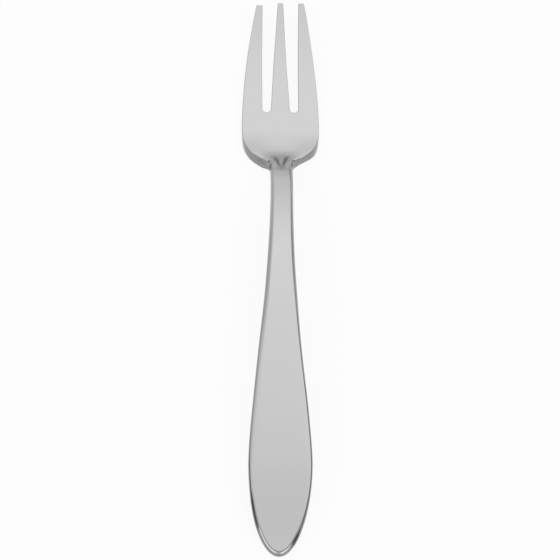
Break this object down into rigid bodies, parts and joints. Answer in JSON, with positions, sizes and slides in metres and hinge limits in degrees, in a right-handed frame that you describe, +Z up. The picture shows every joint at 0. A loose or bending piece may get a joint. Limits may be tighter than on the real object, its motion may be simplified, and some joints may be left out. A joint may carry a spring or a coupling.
{
  "type": "oyster fork",
  "caption": "Oyster fork in one piece of stainless steel, with stout tines on a broad palm, a ridged neck and a flat handle that widens to a round end.",
  "frame": {"origin": "on the surface that the fork lies on, under the middle of its length and width", "axes": "+Y along the fork from the end of the handle to the tips of the tines, +Z up out of that surface, towards the hollow side of the tines, +X across the fork"},
  "size_m": [0.0184, 0.1464, 0.0084],
  "materials": {
    "steel": "satin polish, fine grain along the fork"
  },
  "bodies": {
    "root": {"fork": "steel"}
  },
  "joints": []
}
